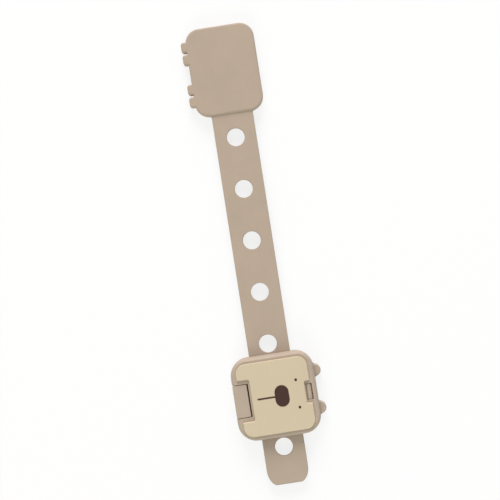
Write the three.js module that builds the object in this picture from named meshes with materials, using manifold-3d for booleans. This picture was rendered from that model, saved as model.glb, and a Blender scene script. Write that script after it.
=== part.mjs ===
// Child safety strap lock: a strap with a row of holes and a stick-on end pad, and a stick-on lock box
// whose post holds one of the holes. The box has a hinged lid, two latch arms and a release button.
// Millimetres. The lock stands on z = 0 with its post on the z axis, the strap runs along +Y to the end
// pad, and the lid's hinge and the two ears are on the +X side.

import * as THREE from 'three';
import { mergeVertices } from 'three/addons/utils/BufferGeometryUtils.js';
import Module from 'manifold-3d';

const wasm = await Module();
wasm.setup();

// Adhesive tape under the lock and under the end pad
const tapeThickness = 1.0;
const tapeInset = 1.6;

// Strap
const strapWidth = 20.8;
const strapThickness = 2.0;
const strapEdge = 0.4;
const holeDiameter = 9.0;
const holePitch = 26.125;
const holesTowardsPad = 5;
const holesTowardsTail = 1;
const padGapAfterLastHole = 12.1;
const tailAfterLastHole = 18.6;
const tailFlatWidth = 13.0;
const tailCurveLength = 7.9;

// End pad
const padWidth = 34.4;
const padLength = 44.2;
const padCorner = 7.15;
const padShiftX = -0.5;
const padRise = 0.8;
const padEdge = 0.9;
const padNeckFillet = 1.2;
const toeReach = 2.5;
const toeWidth = 5.1;
const toeNotch = 1.2;
const toeCorner = 1.4;
const toeEdge = 0.8;
const toeDrop = 0.06;
const toePairSpacing = 21.35;

// Lock box
const boxSize = 42.0;
const boxCorner = 9.3;
const floorThickness = 1.6;
const baseInset = 0.3;
const baseWall = 1.5;
const strapHeadroom = 0.4;
const strapSideClearance = 0.3;
const strapRailWidth = 0.9;
const partingGap = 0.3;
const lidWall = 1.6;
const lidInnerDepth = 3.0;
const lidPlate = 0.9;

// Lid's rim, and the pale face plate that stands on its deck
const rimLeft = 2.8;
const rimRight = 3.6;
const rimEnds = 2.8;
const rimShoulder = 1.8;
const draftShare = 0.18;
const crestShare = 0.7;
const faceCorner = 4.8;
const facePlateThickness = 1.2;
const faceEdge = 0.3;
const notchCorner = 1.0;

// Face marks
const markThickness = 0.12;
const noseWidth = 7.0;
const noseLength = 10.65;
const noseX = 2.9;
const mouthEndX = -9.45;
const mouthWidth = 0.75;
const eyeDiameter = 1.3;
const eyeX = 10.75;
const eyeSpacing = 13.7;

// Ears
const earRadius = 3.0;
const earReach = 3.05;
const earSpacing = 18.9;
const earRootFillet = 0.7;
const earTopDrop = 0.2;
const earEdge = 0.5;

// Post and the lid's ring over it
const postClearance = 0.3;
const postRise = 1.6;
const postChamfer = 0.5;
const postWall = 1.4;
const ringClearance = 0.7;
const ringWall = 1.4;
const ringAboveStrap = 0.3;

// Release button, its rail and its opening in the lid
const buttonLength = 16.4;
const buttonDepth = 7.15;
const buttonInset = 0.15;
const buttonSink = 0.15;
const buttonWall = 1.3;
const buttonEdge = 0.35;
const buttonSideGap = 0.2;
const buttonBackGap = 0.65;
const buttonBorderEnds = 2.0;
const buttonBorderBack = 0.9;
const openingRibWall = 0.7;
const openingRibDepth = 2.3;
const railHeadHalf = 3.2;
const railStemHalf = 1.6;
const railHeadHeight = 0.9;
const railLength = 4.0;
const slideClearance = 0.3;
const legThickness = 1.2;
const legLength = 3.4;
const buttonRoof = 1.4;
const buttonCorner = 0.6;

// Latch arms, the lid's catches and the button's wings that bend the arms
const armThickness = 0.8;
const armWidth = 2.6;
const armBesideRib = 0.3;
const armFromWall = 1.4;
const armSeatGap = 0.15;
const seatHeight = 0.8;
const seatWall = 0.9;
const hookReach = 1.0;
const hookHeight = 1.0;
const catchDepth = 0.9;
const catchHeight = 0.8;
const catchAboveLidEdge = 0.3;
const hookAboveCatch = 0.3;
const wingThickness = 0.95;
const wingSlack = 0.2;
const seatCheek = 0.6;

// Hinge
const hingeInset = 4.4;
const hingeBelowCeiling = 0.7;
const knuckleRadius = 1.5;
const pinRadius = 0.8;
const pinClearance = 0.06;
const windowLength = 8.1;
const windowWidth = 3.05;
const windowLeftOfHinge = 1.4;
const windowBorderEnds = 1.5;
const windowBorderSide = 0.5;
const knuckleEndGap = 0.25;
const lidKnuckleLength = 2.45;
const pinEndGap = 0.2;
const hingeSkirtDrop = 1.4;
const coveClearance = 0.3;
const stemWidth = 2.2;

// Smoothness of the round outlines
const cornerSteps = 8;
const circleSteps = 32;
const roundSteps = 3;
const bite = 0.3;

// Heights that follow from the stack of pieces
const floorTop = tapeThickness + floorThickness;
const strapTop = floorTop + strapThickness;
const wallTop = strapTop + strapHeadroom;
const lidBottom = wallTop + partingGap;
const ceiling = lidBottom + lidInnerDepth;
const deckTop = ceiling + lidPlate;
const faceTop = deckTop + facePlateThickness;
const padTop = strapTop + padRise;
const postTop = strapTop + postRise;
const buttonTop = deckTop - buttonSink;
const hingeZ = ceiling - hingeBelowCeiling;
const hingeSkirtBottom = hingeZ - hingeSkirtDrop;
const catchBottom = lidBottom + catchAboveLidEdge;
const catchTop = catchBottom + catchHeight;
const hookBottom = catchTop + hookAboveCatch;
const hookTop = hookBottom + hookHeight;

// Places that follow from the outlines
const boxHalf = boxSize / 2;
const baseHalf = boxHalf - baseInset;
const baseInner = baseHalf - baseWall;
const lidInner = boxHalf - lidWall;
const faceHalfX = (boxSize - rimLeft - rimRight) / 2;
const faceHalfY = boxHalf - rimEnds;
const faceX = (rimLeft - rimRight) / 2;
const hingeX = boxHalf - hingeInset;
const windowX = hingeX - windowLeftOfHinge + windowWidth / 2;
const knuckleHalf = windowLength / 2 - knuckleEndGap;
const lidKnuckleStart = windowLength / 2;
const lidKnuckleEnd = lidKnuckleStart + lidKnuckleLength;
const stemRight = hingeX - hingeSkirtDrop - coveClearance;
const stemLeft = stemRight - stemWidth;
const strapHalf = strapWidth / 2;
const channelHalf = strapHalf + strapSideClearance;
const buttonLeft = -boxHalf + buttonInset;
const buttonRight = buttonLeft + buttonDepth;
const buttonX = (buttonLeft + buttonRight) / 2;
const openingHalf = buttonLength / 2 + buttonSideGap;
const openingRight = buttonRight + buttonBackGap;
const armY = openingHalf + openingRibWall + armBesideRib + armWidth / 2;
const guideLeft = -baseInner + slideClearance;
const railLeft = guideLeft + slideClearance;
const armLeft = -baseInner + armFromWall;
const armRight = armLeft + armThickness;
const tailY = -holesTowardsTail * holePitch - tailAfterLastHole;
const padNearY = holesTowardsPad * holePitch + padGapAfterLastHole;
const padY = padNearY + padLength / 2;
const far = 4 * boxSize;

const toVector = ([x, y]) => new THREE.Vector2(x, y);
const sides = [-1, 1];
const joined = (parts) => parts.reduce((whole, part) => whole.add(part));

// Counter-clockwise outline of a rectangle with round corners
function roundedRect(cx, cy, halfX, halfY, radius, steps = cornerSteps) {
  const r = Math.min(radius, halfX, halfY);
  const points = [];
  const corners = [[1, 1], [-1, 1], [-1, -1], [1, -1]];
  corners.forEach(([sx, sy], quarter) => {
    for (let i = 0; i <= steps; i += 1) {
      const angle = (quarter + i / steps) * Math.PI / 2;
      const x = cx + sx * (halfX - r) + r * Math.cos(angle);
      const y = cy + sy * (halfY - r) + r * Math.sin(angle);
      points.push([x, y]);
    }
  });
  return points;
}

// Closed solid from a three.js geometry, with its faces turned outward
function solid(geometry) {
  const bare = geometry.clone();
  bare.deleteAttribute('normal');
  bare.deleteAttribute('uv');
  const merged = mergeVertices(bare, 1e-4);
  const vertProperties = new Float32Array(merged.attributes.position.array);
  const triVerts = new Uint32Array(merged.index.array);
  const body = new wasm.Manifold(new wasm.Mesh({ numProp: 3, vertProperties, triVerts }));
  if (body.volume() > 0) return body;
  triVerts.reverse();
  return new wasm.Manifold(new wasm.Mesh({ numProp: 3, vertProperties, triVerts }));
}

// Solid through a stack of outlines, each with its own height and the same number of points
function loft(rings) {
  const count = rings[0].points.length;
  const positions = rings.flatMap(({ points, z }) => points.flatMap(([x, y]) => [x, y, z]));
  const index = [];
  for (let ring = 0; ring < rings.length - 1; ring += 1) {
    for (let i = 0; i < count; i += 1) {
      const a = ring * count + i;
      const b = ring * count + (i + 1) % count;
      index.push(a, b, b + count, a, b + count, a + count);
    }
  }
  const top = (rings.length - 1) * count;
  const capOf = ({ points }) => THREE.ShapeUtils.triangulateShape(points.map(toVector), []);
  capOf(rings[0]).forEach(([a, b, c]) => index.push(a, c, b));
  capOf(rings.at(-1)).forEach(([a, b, c]) => index.push(top + a, top + b, top + c));
  const geometry = new THREE.BufferGeometry();
  geometry.setAttribute('position', new THREE.Float32BufferAttribute(positions, 3));
  geometry.setIndex(index);
  return solid(geometry);
}

const slab = (points, z0, z1) => loft([{ points, z: z0 }, { points, z: z1 }]);

function box(x0, x1, y0, y1, z0, z1) {
  const geometry = new THREE.BoxGeometry(x1 - x0, Math.abs(y1 - y0), z1 - z0);
  geometry.translate((x0 + x1) / 2, (y0 + y1) / 2, (z0 + z1) / 2);
  return solid(geometry);
}

// Round bar along Y
function barY(x, z, radius, y0, y1) {
  const geometry = new THREE.CylinderGeometry(radius, radius, Math.abs(y1 - y0), circleSteps);
  geometry.translate(x, (y0 + y1) / 2, z);
  return solid(geometry);
}

// Body turned about a vertical line from a profile of [radius, z] pairs
function turned(profile, x = 0, y = 0) {
  const geometry = new THREE.LatheGeometry(profile.map(toVector), circleSteps);
  geometry.rotateX(Math.PI / 2);
  geometry.translate(x, y, 0);
  return solid(geometry);
}

// Rounded rectangle slab whose top edge is rounded over
function softSlab(cx, cy, halfX, halfY, radius, z0, z1, edge) {
  const rings = [{ points: roundedRect(cx, cy, halfX, halfY, radius), z: z0 }];
  for (let i = 0; i <= roundSteps; i += 1) {
    const angle = (i / roundSteps) * Math.PI / 2;
    const inset = edge * (1 - Math.cos(angle));
    const points = roundedRect(cx, cy, halfX - inset, halfY - inset, radius - inset);
    rings.push({ points, z: z1 - edge + edge * Math.sin(angle) });
  }
  return loft(rings);
}

// Flat shape with both edges rounded over, between two heights
function bevelled(shape, z0, z1, edge, curveSegments) {
  const geometry = new THREE.ExtrudeGeometry(shape, {
    depth: z1 - z0 - 2 * edge,
    bevelThickness: edge,
    bevelSize: edge,
    bevelOffset: -edge,
    bevelSegments: 2,
    curveSegments,
  });
  geometry.translate(0, 0, z0 + edge);
  return solid(geometry);
}

// Flat shape with square edges, between two heights
function prism(shape, z0, z1) {
  const geometry = new THREE.ExtrudeGeometry(shape, {
    depth: z1 - z0, bevelEnabled: false, curveSegments: 4,
  });
  geometry.translate(0, 0, z0);
  return solid(geometry);
}

// Named mesh of a finished piece
function piece(name, body, color, roughness, metalness = 0) {
  const mesh = body.getMesh();
  const geometry = new THREE.BufferGeometry();
  geometry.setAttribute('position', new THREE.Float32BufferAttribute(mesh.vertProperties, 3));
  geometry.setIndex(Array.from(mesh.triVerts));
  geometry.computeVertexNormals();
  const node = new THREE.Mesh(geometry, new THREE.MeshStandardMaterial({ color, roughness, metalness }));
  node.name = name;
  return node;
}

// Outline of the strap with its holes, from the tail's curved end to inside the end pad
function strapShape() {
  const curveTop = tailY + tailCurveLength;
  const flatHalf = tailFlatWidth / 2;
  const bulgeX = flatHalf + 0.62 * (strapHalf - flatHalf);
  const bulgeY = tailY + 0.14 * tailCurveLength;
  const straightenY = tailY + 0.53 * tailCurveLength;
  const inPad = padNearY + padCorner;
  const shape = new THREE.Shape();
  shape.moveTo(flatHalf, tailY);
  shape.bezierCurveTo(bulgeX, bulgeY, strapHalf, straightenY, strapHalf, curveTop);
  shape.lineTo(strapHalf, inPad);
  shape.lineTo(-strapHalf, inPad);
  shape.lineTo(-strapHalf, curveTop);
  shape.bezierCurveTo(-strapHalf, straightenY, -bulgeX, bulgeY, -flatHalf, tailY);
  for (let k = -holesTowardsTail; k <= holesTowardsPad; k += 1) {
    const hole = new THREE.Path();
    hole.absarc(0, k * holePitch, holeDiameter / 2, 0, 2 * Math.PI, true);
    shape.holes.push(hole);
  }
  return shape;
}

// Small fillet where one side of the strap runs into the pad
function neckFillet(side) {
  const inside = side * (strapHalf - bite);
  const edgeX = side * strapHalf;
  const shape = new THREE.Shape();
  shape.moveTo(inside, padNearY - padNeckFillet);
  shape.lineTo(edgeX, padNearY - padNeckFillet);
  shape.quadraticCurveTo(edgeX, padNearY, edgeX + side * padNeckFillet, padNearY + bite);
  shape.lineTo(inside, padNearY + bite);
  return prism(shape, floorTop + strapEdge, strapTop - strapEdge);
}

// Strap and end pad, one soft moulding, with two pairs of toes on the pad's left edge
function strap() {
  const band = bevelled(strapShape(), floorTop, strapTop, strapEdge, 14);
  const halfX = padWidth / 2;
  const pad = softSlab(padShiftX, padY, halfX, padLength / 2, padCorner, tapeThickness, padTop, padEdge);
  const toeHalfX = toeReach / 2 + toeCorner;
  const toeX = padShiftX - halfX - toeReach + toeHalfX;
  const toes = sides.flatMap((pair) => sides.map((side) => {
    const y = padY + pair * toePairSpacing / 2 + side * (toeWidth + toeNotch) / 2;
    return softSlab(toeX, y, toeHalfX, toeWidth / 2, toeCorner, tapeThickness, padTop - toeDrop, toeEdge);
  }));
  return joined([band, pad, ...sides.map(neckFillet), ...toes]);
}

// Space swept by the lid's hinge end, a body turned about the hinge axis
function hingeSweep() {
  const profile = [new THREE.Vector2(0, -boxHalf)];
  const straight = boxHalf - boxCorner;
  const stations = 2 * cornerSteps;
  for (let i = 0; i <= 2 * stations; i += 1) {
    const y = boxHalf * (i / stations - 1);
    const past = Math.max(Math.abs(y) - straight, 0);
    const edgeX = straight + Math.sqrt(Math.max(boxCorner ** 2 - past ** 2, 0));
    const reach = Math.hypot(Math.max(edgeX - hingeX, 0), hingeSkirtDrop);
    profile.push(new THREE.Vector2(reach + coveClearance, y));
  }
  profile.push(new THREE.Vector2(0, boxHalf));
  const geometry = new THREE.LatheGeometry(profile, 2 * circleSteps);
  geometry.translate(hingeX, 0, hingeZ);
  return solid(geometry);
}

// Ear on the base's hinge side, with small fillets at its root
function ear(side) {
  const y = side * earSpacing / 2;
  const x = boxHalf + earReach - earRadius;
  const top = wallTop - earTopDrop;
  const inside = baseHalf - bite;
  const disc = softSlab(x, y, earRadius, earRadius, earRadius, tapeThickness, top, earEdge);
  const lobe = disc.subtract(box(-far, inside, -far, far, 0, far));
  const lean = THREE.MathUtils.degToRad(65);
  const fillets = sides.map((end) => {
    const root = y + end * (earRadius + earRootFillet);
    const touch = new THREE.Vector2(x + earRadius * Math.cos(lean), y + end * earRadius * Math.sin(lean));
    const shape = new THREE.Shape();
    shape.moveTo(inside, root);
    shape.lineTo(baseHalf, root);
    shape.quadraticCurveTo(x + earEdge / 2, y + end * earRadius, touch.x, touch.y);
    shape.lineTo(inside, touch.y);
    return prism(shape, tapeThickness, top - earEdge);
  });
  return joined([lobe, ...fillets]);
}

// Post that the strap's hole drops over, cored out like a moulding
function post() {
  const radius = holeDiameter / 2 - postClearance;
  const core = radius - postWall;
  return turned([
    [0, floorTop - bite],
    [radius, floorTop - bite],
    [radius, postTop - postChamfer],
    [radius - postChamfer, postTop],
    [core, postTop],
    [core, floorTop + bite],
    [0, floorTop + bite],
  ]);
}

// Socket on the floor that holds the foot of a latch arm
function armSeat(side) {
  const y = side * armY;
  const half = armWidth / 2 + armSeatGap;
  const outer = half + seatCheek;
  const top = floorTop + seatHeight;
  const left = armLeft - armSeatGap;
  const right = armRight + armSeatGap;
  const block = box(left - seatCheek, right + seatWall, y - outer, y + outer, floorTop - bite, top);
  return block.subtract(box(left, right, y - half, y + half, floorTop, far));
}

// T-shaped rail that the button slides on
function buttonRail() {
  const right = railLeft + railLength;
  const stem = box(railLeft, right, -railStemHalf, railStemHalf, floorTop - bite, wallTop);
  const headBottom = wallTop - railHeadHeight;
  return stem.add(box(railLeft, right, -railHeadHalf, railHeadHalf, headBottom, wallTop));
}

// Hinge knuckle seen in the lid's window, on an arm that comes from the left of the axis
function baseKnuckle() {
  const armHalf = knuckleRadius - bite / 2;
  const knuckle = barY(hingeX, hingeZ, knuckleRadius, -knuckleHalf, knuckleHalf);
  const arm = box(stemLeft, hingeX, -knuckleHalf, knuckleHalf, hingeZ - armHalf, hingeZ + bite);
  const stem = box(stemLeft, stemRight, -knuckleHalf, knuckleHalf, floorTop - bite, hingeZ + bite);
  return joined([knuckle, arm, stem]);
}

const pinHole = () => barY(hingeX, hingeZ, pinRadius + pinClearance, -boxHalf / 2, boxHalf / 2);

function lockBase() {
  const outline = roundedRect(0, 0, baseHalf, baseHalf, boxCorner - baseInset);
  const inside = roundedRect(0, 0, baseInner, baseInner, boxCorner - baseInset - baseWall);
  const tub = slab(outline, tapeThickness, wallTop).subtract(slab(inside, floorTop, far));
  const strapWay = box(-channelHalf, channelHalf, -far, far, floorTop, far);
  const railEnd = baseInner + bite;
  const strapRails = sides.map((side) => {
    const middle = side * (channelHalf + strapRailWidth / 2);
    const half = strapRailWidth / 2;
    return box(middle - half, middle + half, -railEnd, railEnd, floorTop - bite, strapTop);
  });
  const carved = tub.subtract(strapWay).subtract(hingeSweep());
  const fittings = [...strapRails, ...sides.map(ear), post(), ...sides.map(armSeat), buttonRail()];
  return joined([carved, ...fittings, baseKnuckle()]).subtract(pinHole());
}

// Outline of the lid at a share of the way from its outer edge to the face plate
function lidOutline(share) {
  const halfX = boxHalf + share * (faceHalfX - boxHalf);
  const halfY = boxHalf + share * (faceHalfY - boxHalf);
  const corner = boxCorner + share * (faceCorner - boxCorner);
  return roundedRect(share * faceX, 0, halfX, halfY, corner);
}

// Outside of the lid: drafted skirt and round shoulder up to the deck
function lidShell() {
  const shoulderZ = deckTop - rimShoulder;
  const rings = [{ points: lidOutline(0), z: lidBottom }];
  const shoulderSteps = 2 * roundSteps;
  for (let i = 0; i <= shoulderSteps; i += 1) {
    const angle = (i / shoulderSteps) * Math.PI / 2;
    const share = draftShare + (crestShare - draftShare) * (1 - Math.cos(angle));
    rings.push({ points: lidOutline(share), z: shoulderZ + rimShoulder * Math.sin(angle) });
  }
  return loft(rings);
}

// Pale plate on the lid's deck, cut clear of the button's and the window's borders
function facePlate() {
  const buttonSide = openingRight + buttonBorderBack;
  const buttonHalf = openingHalf + buttonBorderEnds;
  const windowSide = windowX - windowWidth / 2 - windowBorderSide;
  const windowHalf = windowLength / 2 + windowBorderEnds;
  const flareZ = faceTop - faceEdge;
  const flare = faceEdge + bite;
  const notch = (x, halfX, halfY) => loft([
    { points: roundedRect(x, 0, halfX, halfY, notchCorner), z: deckTop - bite },
    { points: roundedRect(x, 0, halfX, halfY, notchCorner), z: flareZ },
    { points: roundedRect(x, 0, halfX + flare, halfY + flare, notchCorner + flare), z: flareZ + flare },
  ]);
  return softSlab(faceX, 0, faceHalfX, faceHalfY, faceCorner, deckTop, faceTop, faceEdge)
    .subtract(notch(buttonSide - boxHalf, boxHalf, buttonHalf))
    .subtract(notch(windowSide + boxHalf, boxHalf, windowHalf));
}

// Lid's hinge knuckle beside the window
function lidKnuckle(side) {
  const y0 = side * lidKnuckleStart;
  const y1 = side * lidKnuckleEnd;
  const web = box(hingeX - knuckleRadius, hingeX + knuckleRadius, y0, y1, hingeZ, ceiling + bite);
  return barY(hingeX, hingeZ, knuckleRadius, y0, y1).add(web);
}

// Ledge inside the lid's skirt that a latch arm hooks over
function lidCatch(side) {
  const y = side * armY;
  const half = armWidth / 2;
  return box(-lidInner - bite, -lidInner + catchDepth, y - half, y + half, catchBottom, catchTop);
}

// Ribs that close the lid round the button
function openingRibs() {
  const outer = openingHalf + openingRibWall;
  const right = openingRight + openingRibWall;
  const z0 = ceiling - openingRibDepth;
  const frame = box(-lidInner - bite, right, -outer, outer, z0, ceiling + bite);
  return frame.subtract(box(-far, openingRight, -openingHalf, openingHalf, z0 - bite, far));
}

// Ring under the lid that holds the strap down on its post
function strapRing() {
  const inner = holeDiameter / 2 - postClearance + ringClearance;
  const outer = inner + ringWall;
  const bottom = strapTop + ringAboveStrap;
  const top = ceiling + bite;
  return turned([[inner, bottom], [outer, bottom], [outer, top], [inner, top], [inner, bottom]]);
}

function lockLid() {
  const cavity = slab(roundedRect(0, 0, lidInner, lidInner, boxCorner - lidWall), 0, ceiling);
  const opening = box(-far, openingRight, -openingHalf, openingHalf, 0, far);
  const windowHalf = windowWidth / 2;
  const lengthHalf = windowLength / 2;
  const window = box(windowX - windowHalf, windowX + windowHalf, -lengthHalf, lengthHalf, 0, far);
  const hingeRelief = box(hingeX, far, -far, far, 0, hingeSkirtBottom);
  const shell = lidShell().subtract(cavity);
  const inner = [openingRibs(), strapRing(), ...sides.map(lidKnuckle), ...sides.map(lidCatch)];
  return joined([shell, ...inner])
    .subtract(opening)
    .subtract(window)
    .subtract(hingeRelief)
    .subtract(pinHole());
}

// Hollow cap, legs that grip the rail, and wings that reach to the latch arms
function releaseButton() {
  const halfX = buttonDepth / 2;
  const halfY = buttonLength / 2;
  const innerHalf = halfY - buttonWall;
  const roof = buttonTop - buttonRoof;
  const cap = softSlab(buttonX, 0, halfX, halfY, buttonCorner, lidBottom, buttonTop, buttonEdge);
  const hollow = box(buttonLeft + buttonWall, buttonRight - buttonWall, -innerHalf, innerHalf, 0, roof);
  const legBottom = floorTop + slideClearance;
  const lipTop = wallTop - railHeadHeight - slideClearance;
  const legInner = railHeadHalf + slideClearance;
  const lipInner = railStemHalf + slideClearance;
  const legRight = railLeft + legLength;
  const wingBottom = floorTop + seatHeight + slideClearance;
  const wingEnd = armY + armWidth / 2 - wingSlack;
  const grips = sides.flatMap((side) => [
    box(railLeft, legRight, side * legInner, side * (legInner + legThickness), legBottom, roof + bite),
    box(railLeft, legRight, side * lipInner, side * (legInner + bite), legBottom, lipTop),
    box(guideLeft, legRight, side * innerHalf, side * halfY, wingBottom, lidBottom + bite),
    box(guideLeft, guideLeft + wingThickness, side * innerHalf, side * wingEnd, wingBottom, wallTop),
  ]);
  return joined([cap.subtract(hollow), ...grips]);
}

// Standing spring arm with a hook head that leans out over the lid's catch
function latchArm(side) {
  const y = side * armY;
  const half = armWidth / 2;
  const blade = box(armLeft, armRight, y - half, y + half, floorTop, hookTop);
  const head = new THREE.Shape([
    [armLeft + bite, hookBottom],
    [armLeft + bite, hookTop],
    [armLeft, hookTop],
    [armLeft - hookReach, hookBottom + hookHeight / 3],
    [armLeft - hookReach, hookBottom],
  ].map(toVector));
  const geometry = new THREE.ExtrudeGeometry(head, { depth: armWidth, bevelEnabled: false });
  geometry.rotateX(Math.PI / 2);
  geometry.translate(0, y + half, 0);
  return blade.add(solid(geometry));
}

const hingePin = () => barY(hingeX, hingeZ, pinRadius, pinEndGap - lidKnuckleEnd, lidKnuckleEnd - pinEndGap);

// Printed mark on the face, a thin raised field
const mark = (points) => slab(points, faceTop, faceTop + markThickness);

function mouthOutline() {
  const half = mouthWidth / 2;
  const left = mouthEndX + half;
  const right = noseX - noseWidth / 2;
  const end = [];
  for (let i = 0; i <= cornerSteps; i += 1) {
    const angle = (0.5 + i / cornerSteps) * Math.PI;
    end.push([left + half * Math.cos(angle), half * Math.sin(angle)]);
  }
  return [[right, half], ...end, [right, -half]];
}

const nose = () => mark(roundedRect(noseX, 0, noseWidth / 2, noseLength / 2, noseWidth / 2));
const eye = (side) => mark(roundedRect(eyeX, side * eyeSpacing / 2, eyeDiameter / 2, eyeDiameter / 2, eyeDiameter));

function lockTape() {
  const half = baseHalf - tapeInset;
  return slab(roundedRect(0, 0, half, half, boxCorner - baseInset - tapeInset), 0, tapeThickness);
}

function padTape() {
  const halfX = padWidth / 2 - tapeInset;
  const halfY = padLength / 2 - tapeInset;
  return slab(roundedRect(padShiftX, padY, halfX, halfY, padCorner - tapeInset), 0, tapeThickness);
}

const tan = '#b8a795';
const paleCream = '#d2c2a6';
const darkBrown = '#4c3a37';
const tapeWhite = '#e4e1da';
const armWhite = '#d9d6cf';
const steel = '#b9bbbd';

const lidGroup = new THREE.Group();
lidGroup.add(
  piece('lock_lid', lockLid(), tan, 0.5),
  piece('face_plate', facePlate(), paleCream, 0.5),
  piece('nose', nose(), darkBrown, 0.55),
  piece('mouth', mark(mouthOutline()), darkBrown, 0.55),
  piece('eye_upper', eye(1), darkBrown, 0.55),
  piece('eye_lower', eye(-1), darkBrown, 0.55),
);

const baseGroup = new THREE.Group();
baseGroup.add(
  piece('lock_tape', lockTape(), tapeWhite, 0.9),
  piece('lock_base', lockBase(), tan, 0.5),
  piece('hinge_pin', hingePin(), steel, 0.3, 1),
  piece('latch_arm_upper', latchArm(1), armWhite, 0.5),
  piece('latch_arm_lower', latchArm(-1), armWhite, 0.5),
  piece('release_button', releaseButton(), tan, 0.5),
);

const strapGroup = new THREE.Group();
strapGroup.add(
  piece('strap', strap(), tan, 0.6),
  piece('end_pad_tape', padTape(), tapeWhite, 0.9),
);

const safetyLock = new THREE.Group();
safetyLock.add(baseGroup, lidGroup, strapGroup);

export default safetyLock;
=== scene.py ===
"""Looks, light and camera for the child safety strap lock."""

import math

import bpy
from mathutils import Matrix

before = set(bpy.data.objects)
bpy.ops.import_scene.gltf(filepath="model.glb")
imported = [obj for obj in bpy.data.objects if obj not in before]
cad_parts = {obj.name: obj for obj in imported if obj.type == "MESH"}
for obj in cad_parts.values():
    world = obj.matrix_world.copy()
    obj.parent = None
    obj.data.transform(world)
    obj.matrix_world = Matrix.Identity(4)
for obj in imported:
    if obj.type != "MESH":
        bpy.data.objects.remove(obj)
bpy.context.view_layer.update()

MM = 0.001

# Camera, from the photograph. Its pixel size is measured at the strap's upper face.
PHOTO_PIXELS = 500
PIXEL = 0.5 * MM
STRAP_FACE = 4.6 * MM
LEAN = math.radians(8.864)
VIEW_CENTRE = (-1.67 * MM, 73.72 * MM)
VIEW_DISTANCE = 530 * MM
SENSOR = 36

# Light. The shares are what each source gives a card lying flat. Their sum is 1.1, so that the
# plastics, which grain and flow lines darken a little, render in about their written colours.
# Heights are over the floor, and turns are from the image's top edge.
WORLD_SHARE = 0.5
KEY_SHARE = 0.4
KEY_HEIGHT = math.radians(26)
KEY_TURN = math.radians(6)
KEY_DISTANCE = 4.0
KEY_SIZE = 2.4
KEY_COLOUR = (1.0, 0.965, 0.955)
FILL_SHARE = 0.2
FILL_HEIGHT = math.radians(30)
FILL_TURN = math.radians(170)
FILL_DISTANCE = 4.0
FILL_SIZE = 2.6
FILL_COLOUR = (0.93, 1.0, 0.9)

# Floor. It bounces light at one strength, and shows a faint shadow on white to the camera:
# a small part of it is lit and the rest shines by itself.
FLOOR_SIZE = 3.0
FLOOR_DROP = 0.02 * MM
FLOOR_BOUNCE = 0.8
FLOOR_LIT = 0.2
FLOOR_LIFT = 0.79

# Smooth shading. Edges sharper than the angle stay sharp.
SHARP_EDGE = math.radians(32)
WELD = 0.002 * MM

# Range of a noise's values that holds most of them
NOISE_LOW = 0.3
NOISE_HIGH = 0.7

# Moulded plastic
CLOUD_SIZE = 11 * MM
FLOW_LINE_WIDTH = 1.6 * MM
FLOW_LINE_STRETCH = (1, 9, 3)
SPECK_DARKEST = 0.965
ROUNDED_EDGE = 0.22 * MM
EDGE_SAMPLES = 6
SCUFF_SIZE = 0.9 * MM
SCUFF_SHINE = 0.12
# Painted shade: the colour is darkened and tinted where two surfaces meet, from ambient occlusion
CORNER_REACH = 1.4 * MM
CORNER_SAMPLES = 8
CORNER_SHADE_DEPTH = 0.25
CORNER_SHADE_TINT = (0.78, 0.74, 0.70)
PLASTIC_IOR = 1.46
PLASTIC_GLOSS = 0.4
ROUGHNESS_SPREAD = 0.05

# Relief of the ink's surface and of the spring plastic's
FINE_RELIEF = 0.01 * MM

# Printed ink
INK_LAY_SIZE = 0.7 * MM
INK_THICK = 0.9
INK_THIN = 1.12
INK_GLOSS = 0.25
PINHOLE_SIZE = 0.16 * MM
PINHOLE_SHARE = 0.35
PINHOLE_LIGHT = 2.2

# Spring plastic
MILKY_CLOUD_SIZE = 2.4 * MM
MILKY_GRAIN_SIZE = 0.15 * MM
MILKY_DEPTH_SHARE = 0.25
MILKY_DEPTH_TINT = (0.8, 0.7, 0.5)
MILKY_DEPTH = 0.6 * MM

# Steel wire
DRAW_LINE_WIDTH = 0.06 * MM
DRAW_LINE_STRETCH = (1, 60, 1)
DRAW_LINE_RELIEF = 0.006 * MM
STEEL_PATCH_SIZE = 1.5 * MM

# Foam tape
FOAM_CELL = 0.22 * MM
FOAM_RELIEF = 0.05 * MM
FOAM_ROUGHNESS = 0.85
SOIL_SIZE = 5 * MM
SOIL_SHARE = 0.04
SOIL_TINT = (0.8, 0.75, 0.65)


def linear(red, green, blue):
    """Scene colour of an 8-bit sRGB colour."""
    shares = [channel / 255 for channel in (red, green, blue)]
    curve = [s / 12.92 if s <= 0.04045 else ((s + 0.055) / 1.055) ** 2.4 for s in shares]
    return (*curve, 1.0)


def scaled(colour, factor):
    """The colour made lighter or darker by one factor, or by one factor a channel."""
    factors = factor if hasattr(factor, "__len__") else (factor,) * 3
    return (*(min(1.0, c * f) for c, f in zip(colour, factors)), 1.0)


def add(tree, kind, settings=None, **inputs):
    """New node. Inputs are named with _ for a space, and take a number, a colour or a socket."""
    made = tree.nodes.new(kind)
    for name, value in (settings or {}).items():
        setattr(made, name, value)
    for name, value in inputs.items():
        plug(tree, made.inputs[name.replace("_", " ")], value)
    return made


def plug(tree, socket, value):
    if isinstance(value, bpy.types.NodeSocket):
        tree.links.new(value, socket)
    else:
        socket.default_value = value


def mix_colours(tree, share, first, second, blend="MIX"):
    made = add(tree, "ShaderNodeMix", {"data_type": "RGBA", "blend_type": blend})
    for socket, value in zip((made.inputs[0], made.inputs[6], made.inputs[7]), (share, first, second)):
        plug(tree, socket, value)
    return made.outputs[2]


def calculate(tree, operation, first, second=0.0):
    made = add(tree, "ShaderNodeMath", {"operation": operation})
    plug(tree, made.inputs[0], first)
    plug(tree, made.inputs[1], second)
    return made.outputs[0]


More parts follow.
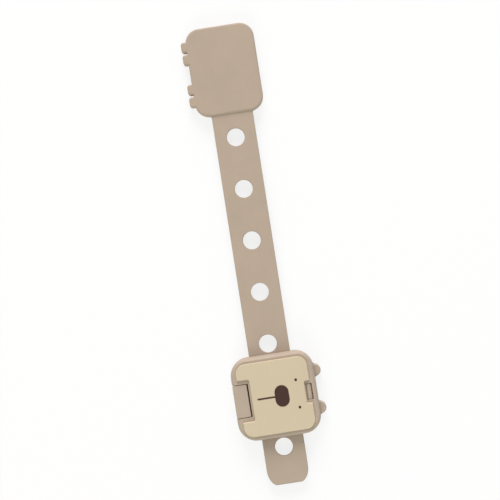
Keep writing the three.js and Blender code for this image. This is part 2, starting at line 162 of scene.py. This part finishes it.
def ranged(tree, value, low, high, to_low=0.0, to_high=1.0):
    made = add(tree, "ShaderNodeMapRange", Value=value)
    made.inputs["From Min"].default_value = low
    made.inputs["From Max"].default_value = high
    made.inputs["To Min"].default_value = to_low
    made.inputs["To Max"].default_value = to_high
    return made.outputs[0]


def noise(tree, place, size, detail=2.0, roughness=0.5, stretch=None):
    """Noise whose features are about one size across, in metres, stretched along each axis."""
    if stretch:
        place = add(tree, "ShaderNodeMapping", Vector=place, Scale=[1 / s for s in stretch]).outputs[0]
    made = add(tree, "ShaderNodeTexNoise", Vector=place, Scale=1 / size, Detail=detail, Roughness=roughness)
    return made.outputs["Fac"]


def object_place(tree):
    return add(tree, "ShaderNodeTexCoord").outputs["Object"]


def new_material(name):
    """A new material, its node tree and its shader."""
    material = bpy.data.materials.new(name)
    material.use_nodes = True
    tree = material.node_tree
    return material, tree, tree.nodes["Principled BSDF"]


def edge_share(tree, radius):
    """1 on an outward or inward edge and 0 on flat ground, with the rounded normal."""
    rounded = add(tree, "ShaderNodeBevel", {"samples": EDGE_SAMPLES}, Radius=radius).outputs[0]
    plain = add(tree, "ShaderNodeNewGeometry").outputs["Normal"]
    turn = add(tree, "ShaderNodeVectorMath", {"operation": "DOT_PRODUCT"})
    tree.links.new(rounded, turn.inputs[0])
    tree.links.new(plain, turn.inputs[1])
    return ranged(tree, turn.outputs["Value"], 0.995, 0.8), rounded


def moulded_plastic(name, colour, roughness, grain, grain_depth, cloud=0.025, streak=0.012, rub=0.11):
    """Moulded plastic: fine spark-eroded grain, faint clouds and flow lines in the colour,
    edges a little rubbed, and painted shade that darkens the colour where two surfaces meet."""
    material, tree, shader = new_material(name)
    place = object_place(tree)
    clouds = ranged(tree, noise(tree, place, CLOUD_SIZE, detail=3), NOISE_LOW, NOISE_HIGH)
    lines = noise(tree, place, FLOW_LINE_WIDTH, detail=4, roughness=0.6, stretch=FLOW_LINE_STRETCH)
    streaks = ranged(tree, lines, NOISE_LOW, NOISE_HIGH)
    fine = noise(tree, place, grain, detail=3, roughness=0.6)
    body = mix_colours(tree, clouds, scaled(colour, 1 - cloud), scaled(colour, 1 + cloud))
    flow = mix_colours(tree, streaks, scaled((1, 1, 1), 1 - 2 * streak), (1, 1, 1, 1))
    body = mix_colours(tree, 1.0, body, flow, "MULTIPLY")
    specks = ranged(tree, fine, 0.2, 0.8, SPECK_DARKEST, 1.0)
    body = mix_colours(tree, 1.0, body, specks, "MULTIPLY")
    edges, rounded = edge_share(tree, ROUNDED_EDGE)
    scuffs = ranged(tree, noise(tree, place, SCUFF_SIZE, detail=4, roughness=0.65), 0.42, 0.66)
    worn = calculate(tree, "MULTIPLY", edges, scuffs)
    body = mix_colours(tree, worn, body, scaled(colour, 1 + rub))
    # Painted shade: the colour is darkened and tinted in corners and creases, from ambient occlusion
    corner = add(tree, "ShaderNodeAmbientOcclusion", {"samples": CORNER_SAMPLES}, Distance=CORNER_REACH)
    painted_corner_shade = ranged(tree, corner.outputs["AO"], 0.25, 0.75, CORNER_SHADE_DEPTH, 0.0)
    body = mix_colours(tree, painted_corner_shade, body, scaled(colour, CORNER_SHADE_TINT))
    tree.links.new(body, shader.inputs["Base Color"])
    dull = ranged(tree, streaks, 0, 1, roughness - ROUGHNESS_SPREAD, roughness + ROUGHNESS_SPREAD)
    shine = ranged(tree, worn, 0, 1, 0, SCUFF_SHINE)
    tree.links.new(calculate(tree, "SUBTRACT", dull, shine), shader.inputs["Roughness"])
    bump = add(tree, "ShaderNodeBump", Strength=1.0, Distance=grain_depth, Height=fine, Normal=rounded)
    tree.links.new(bump.outputs[0], shader.inputs["Normal"])
    shader.inputs["IOR"].default_value = PLASTIC_IOR
    shader.inputs["Specular IOR Level"].default_value = PLASTIC_GLOSS
    return material


def printed_ink(name, colour):
    """Pad-printed ink: a thin satin layer with pinholes and a slightly uneven lay."""
    material, tree, shader = new_material(name)
    place = object_place(tree)
    lay = ranged(tree, noise(tree, place, INK_LAY_SIZE, detail=4, roughness=0.6), NOISE_LOW, NOISE_HIGH)
    pinholes = ranged(tree, noise(tree, place, PINHOLE_SIZE, detail=2), 0.66, 0.72, 0, PINHOLE_SHARE)
    body = mix_colours(tree, lay, scaled(colour, INK_THICK), scaled(colour, INK_THIN))
    body = mix_colours(tree, pinholes, body, scaled(colour, PINHOLE_LIGHT))
    tree.links.new(body, shader.inputs["Base Color"])
    tree.links.new(ranged(tree, lay, 0, 1, 0.45, 0.6), shader.inputs["Roughness"])
    shader.inputs["Specular IOR Level"].default_value = INK_GLOSS
    height = add(tree, "ShaderNodeBump", Strength=0.6, Distance=FINE_RELIEF, Height=lay)
    tree.links.new(height.outputs[0], shader.inputs["Normal"])
    return material


def spring_plastic(name, colour):
    """Unpainted springy plastic: milky, waxy and a little see-through at thin edges."""
    material, tree, shader = new_material(name)
    place = object_place(tree)
    clouds = ranged(tree, noise(tree, place, MILKY_CLOUD_SIZE, detail=3), NOISE_LOW, NOISE_HIGH)
    tree.links.new(mix_colours(tree, clouds, scaled(colour, 0.95), colour), shader.inputs["Base Color"])
    tree.links.new(ranged(tree, clouds, 0, 1, 0.32, 0.42), shader.inputs["Roughness"])
    grain = noise(tree, place, MILKY_GRAIN_SIZE)
    bump = add(tree, "ShaderNodeBump", Strength=0.5, Distance=FINE_RELIEF, Height=grain)
    tree.links.new(bump.outputs[0], shader.inputs["Normal"])
    shader.inputs["Subsurface Weight"].default_value = MILKY_DEPTH_SHARE
    shader.inputs["Subsurface Radius"].default_value = MILKY_DEPTH_TINT
    shader.inputs["Subsurface Scale"].default_value = MILKY_DEPTH
    return material


def drawn_steel(name, colour):
    """Drawn steel wire: fine lines along its length and duller patches."""
    material, tree, shader = new_material(name)
    place = object_place(tree)
    lines = noise(tree, place, DRAW_LINE_WIDTH, detail=3, roughness=0.6, stretch=DRAW_LINE_STRETCH)
    patches = ranged(tree, noise(tree, place, STEEL_PATCH_SIZE, detail=3), 0.35, 0.65)
    tree.links.new(mix_colours(tree, patches, scaled(colour, 0.85), colour), shader.inputs["Base Color"])
    tree.links.new(ranged(tree, lines, NOISE_LOW, NOISE_HIGH, 0.22, 0.42), shader.inputs["Roughness"])
    draw = add(tree, "ShaderNodeBump", Strength=0.6, Distance=DRAW_LINE_RELIEF, Height=lines)
    tree.links.new(draw.outputs[0], shader.inputs["Normal"])
    shader.inputs["Metallic"].default_value = 1.0
    return material


def foam(name, colour):
    """Closed-cell foam tape: small open cells where it is cut, and a soft dull face."""
    material, tree, shader = new_material(name)
    place = object_place(tree)
    cells = add(tree, "ShaderNodeTexVoronoi", Vector=place, Scale=1 / FOAM_CELL).outputs["Distance"]
    # Painted shade: the open cells are painted darker, for the shade that falls in them
    shaded_pits = ranged(tree, cells, 0.1, 0.6)
    soil = ranged(tree, noise(tree, place, SOIL_SIZE, detail=3), 0.35, 0.65, 0, SOIL_SHARE)
    body = mix_colours(tree, shaded_pits, scaled(colour, 0.8), colour)
    body = mix_colours(tree, soil, body, scaled(colour, SOIL_TINT))
    tree.links.new(body, shader.inputs["Base Color"])
    shader.inputs["Roughness"].default_value = FOAM_ROUGHNESS
    bump = add(tree, "ShaderNodeBump", Strength=0.8, Distance=FOAM_RELIEF, Height=cells)
    tree.links.new(bump.outputs[0], shader.inputs["Normal"])
    return material


def smooth_shading():
    """Geometry nodes that weld the faces and shade them smooth up to the sharp edges."""
    tree = bpy.data.node_groups.new("smooth_shading", "GeometryNodeTree")
    tree.interface.new_socket("Geometry", in_out="INPUT", socket_type="NodeSocketGeometry")
    tree.interface.new_socket("Geometry", in_out="OUTPUT", socket_type="NodeSocketGeometry")
    start = tree.nodes.new("NodeGroupInput")
    end = tree.nodes.new("NodeGroupOutput")
    weld = add(tree, "GeometryNodeMergeByDistance", Geometry=start.outputs[0], Distance=WELD)
    bare = add(tree, "GeometryNodeRemoveAttribute", Geometry=weld.outputs[0], Name="custom_normal")
    smooth = add(tree, "GeometryNodeSetShadeSmooth", {"domain": "FACE"}, Geometry=bare.outputs[0])
    angle = add(tree, "GeometryNodeInputMeshEdgeAngle").outputs["Unsigned Angle"]
    sharp = add(tree, "FunctionNodeCompare", {"data_type": "FLOAT", "operation": "GREATER_THAN"})
    tree.links.new(angle, sharp.inputs[0])
    sharp.inputs[1].default_value = SHARP_EDGE
    creased = add(tree, "GeometryNodeSetShadeSmooth", {"domain": "EDGE"}, Geometry=smooth.outputs[0])
    tree.links.new(sharp.outputs[0], creased.inputs["Selection"])
    creased.inputs["Shade Smooth"].default_value = False
    tree.links.new(creased.outputs[0], end.inputs[0])
    return tree


def dress(material, *names):
    """Gives CAD nodes a material and smooth shading in which the flat faces stay flat."""
    for name in names:
        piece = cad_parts[name]
        for slot in piece.material_slots:
            slot.link = "OBJECT"
            slot.material = material
        piece.modifiers.new("smooth shading", "NODES").node_group = SMOOTH
        piece.modifiers.new("flat faces", "WEIGHTED_NORMAL").keep_sharp = True


def area_light(name, share, height, turn, distance, size, colour):
    """Soft light on the object from a height and a turn from the image's top edge."""
    data = bpy.data.lights.new(name, "AREA")
    data.shape = "DISK"
    data.size = size
    data.color = colour
    data.energy = share * math.pi**2 * distance**2 / math.sin(height)
    light = bpy.data.objects.new(name, data)
    bpy.context.scene.collection.objects.link(light)
    around = Matrix.Rotation(turn - LEAN, 4, "Z")
    tilt = Matrix.Rotation(-(math.pi / 2 - height), 4, "X")
    centre = Matrix.Translation((*VIEW_CENTRE, 0))
    light.matrix_world = centre @ around @ tilt @ Matrix.Translation((0, 0, distance))
    return light


def background_rays(tree):
    """1 for the rays that show the background: from the camera, off gloss and through glass."""
    path = add(tree, "ShaderNodeLightPath").outputs
    mirrored = calculate(tree, "MAXIMUM", path["Is Glossy Ray"], path["Is Transmission Ray"])
    return calculate(tree, "MAXIMUM", path["Is Camera Ray"], mirrored)


def white_world():
    world = bpy.data.worlds.new("studio")
    world.use_nodes = True
    tree = world.node_tree
    background = tree.nodes["Background"]
    background.inputs["Color"].default_value = (1, 1, 1, 1)
    strength = ranged(tree, background_rays(tree), 0, 1, WORLD_SHARE, 1)
    tree.links.new(strength, background.inputs["Strength"])
    bpy.context.scene.world = world


def white_floor():
    half = FLOOR_SIZE / 2
    corners = [(-half, -half), (half, -half), (half, half), (-half, half)]
    mesh = bpy.data.meshes.new("floor")
    mesh.from_pydata([(x, y, -FLOOR_DROP) for x, y in corners], [], [(0, 1, 2, 3)])
    floor = bpy.data.objects.new("floor", mesh)
    bpy.context.scene.collection.objects.link(floor)
    material, tree, shader = new_material("floor")
    shown = background_rays(tree)
    card = add(tree, "ShaderNodeBsdfDiffuse")
    tree.links.new(ranged(tree, shown, 0, 1, FLOOR_BOUNCE, FLOOR_LIT), card.inputs["Color"])
    lift = add(tree, "ShaderNodeEmission", Strength=calculate(tree, "MULTIPLY", shown, FLOOR_LIFT))
    both = add(tree, "ShaderNodeAddShader")
    tree.links.new(card.outputs[0], both.inputs[0])
    tree.links.new(lift.outputs[0], both.inputs[1])
    tree.links.new(both.outputs[0], tree.nodes["Material Output"].inputs["Surface"])
    tree.nodes.remove(shader)
    mesh.materials.append(material)


def photo_camera():
    data = bpy.data.cameras.new("camera")
    data.sensor_width = SENSOR
    data.lens = SENSOR * VIEW_DISTANCE / (PHOTO_PIXELS * PIXEL)
    camera = bpy.data.objects.new("camera", data)
    bpy.context.scene.collection.objects.link(camera)
    place = Matrix.Translation((*VIEW_CENTRE, STRAP_FACE + VIEW_DISTANCE))
    camera.matrix_world = place @ Matrix.Rotation(-LEAN, 4, "Z")
    bpy.context.scene.camera = camera


SMOOTH = smooth_shading()

tan = moulded_plastic(
    "tan_plastic", linear(184, 167, 149), roughness=0.5, grain=0.16 * MM, grain_depth=0.012 * MM
)
strap_tan = moulded_plastic(
    "strap_plastic", linear(182, 164, 146), roughness=0.62, grain=0.13 * MM, grain_depth=0.01 * MM, cloud=0.03
)
cream = moulded_plastic(
    "cream_plastic", linear(210, 194, 166), roughness=0.42, grain=0.12 * MM, grain_depth=0.006 * MM,
    cloud=0.012,
)
brown = printed_ink("brown_print", linear(64, 41, 34))
milky = spring_plastic("arm_plastic", linear(217, 214, 207))
steel = drawn_steel("pin_steel", linear(185, 187, 189))
tape = foam("foam_tape", linear(228, 225, 218))

dress(tan, "lock_base", "lock_lid", "release_button")
dress(strap_tan, "strap")
dress(cream, "face_plate")
dress(brown, "nose", "mouth", "eye_upper", "eye_lower")
dress(milky, "latch_arm_upper", "latch_arm_lower")
dress(steel, "hinge_pin")
dress(tape, "lock_tape", "end_pad_tape")

area_light("key", KEY_SHARE, KEY_HEIGHT, KEY_TURN, KEY_DISTANCE, KEY_SIZE, KEY_COLOUR)
area_light("fill", FILL_SHARE, FILL_HEIGHT, FILL_TURN, FILL_DISTANCE, FILL_SIZE, FILL_COLOUR)
white_world()
white_floor()
photo_camera()
bpy.context.scene.view_settings.view_transform = "Standard"
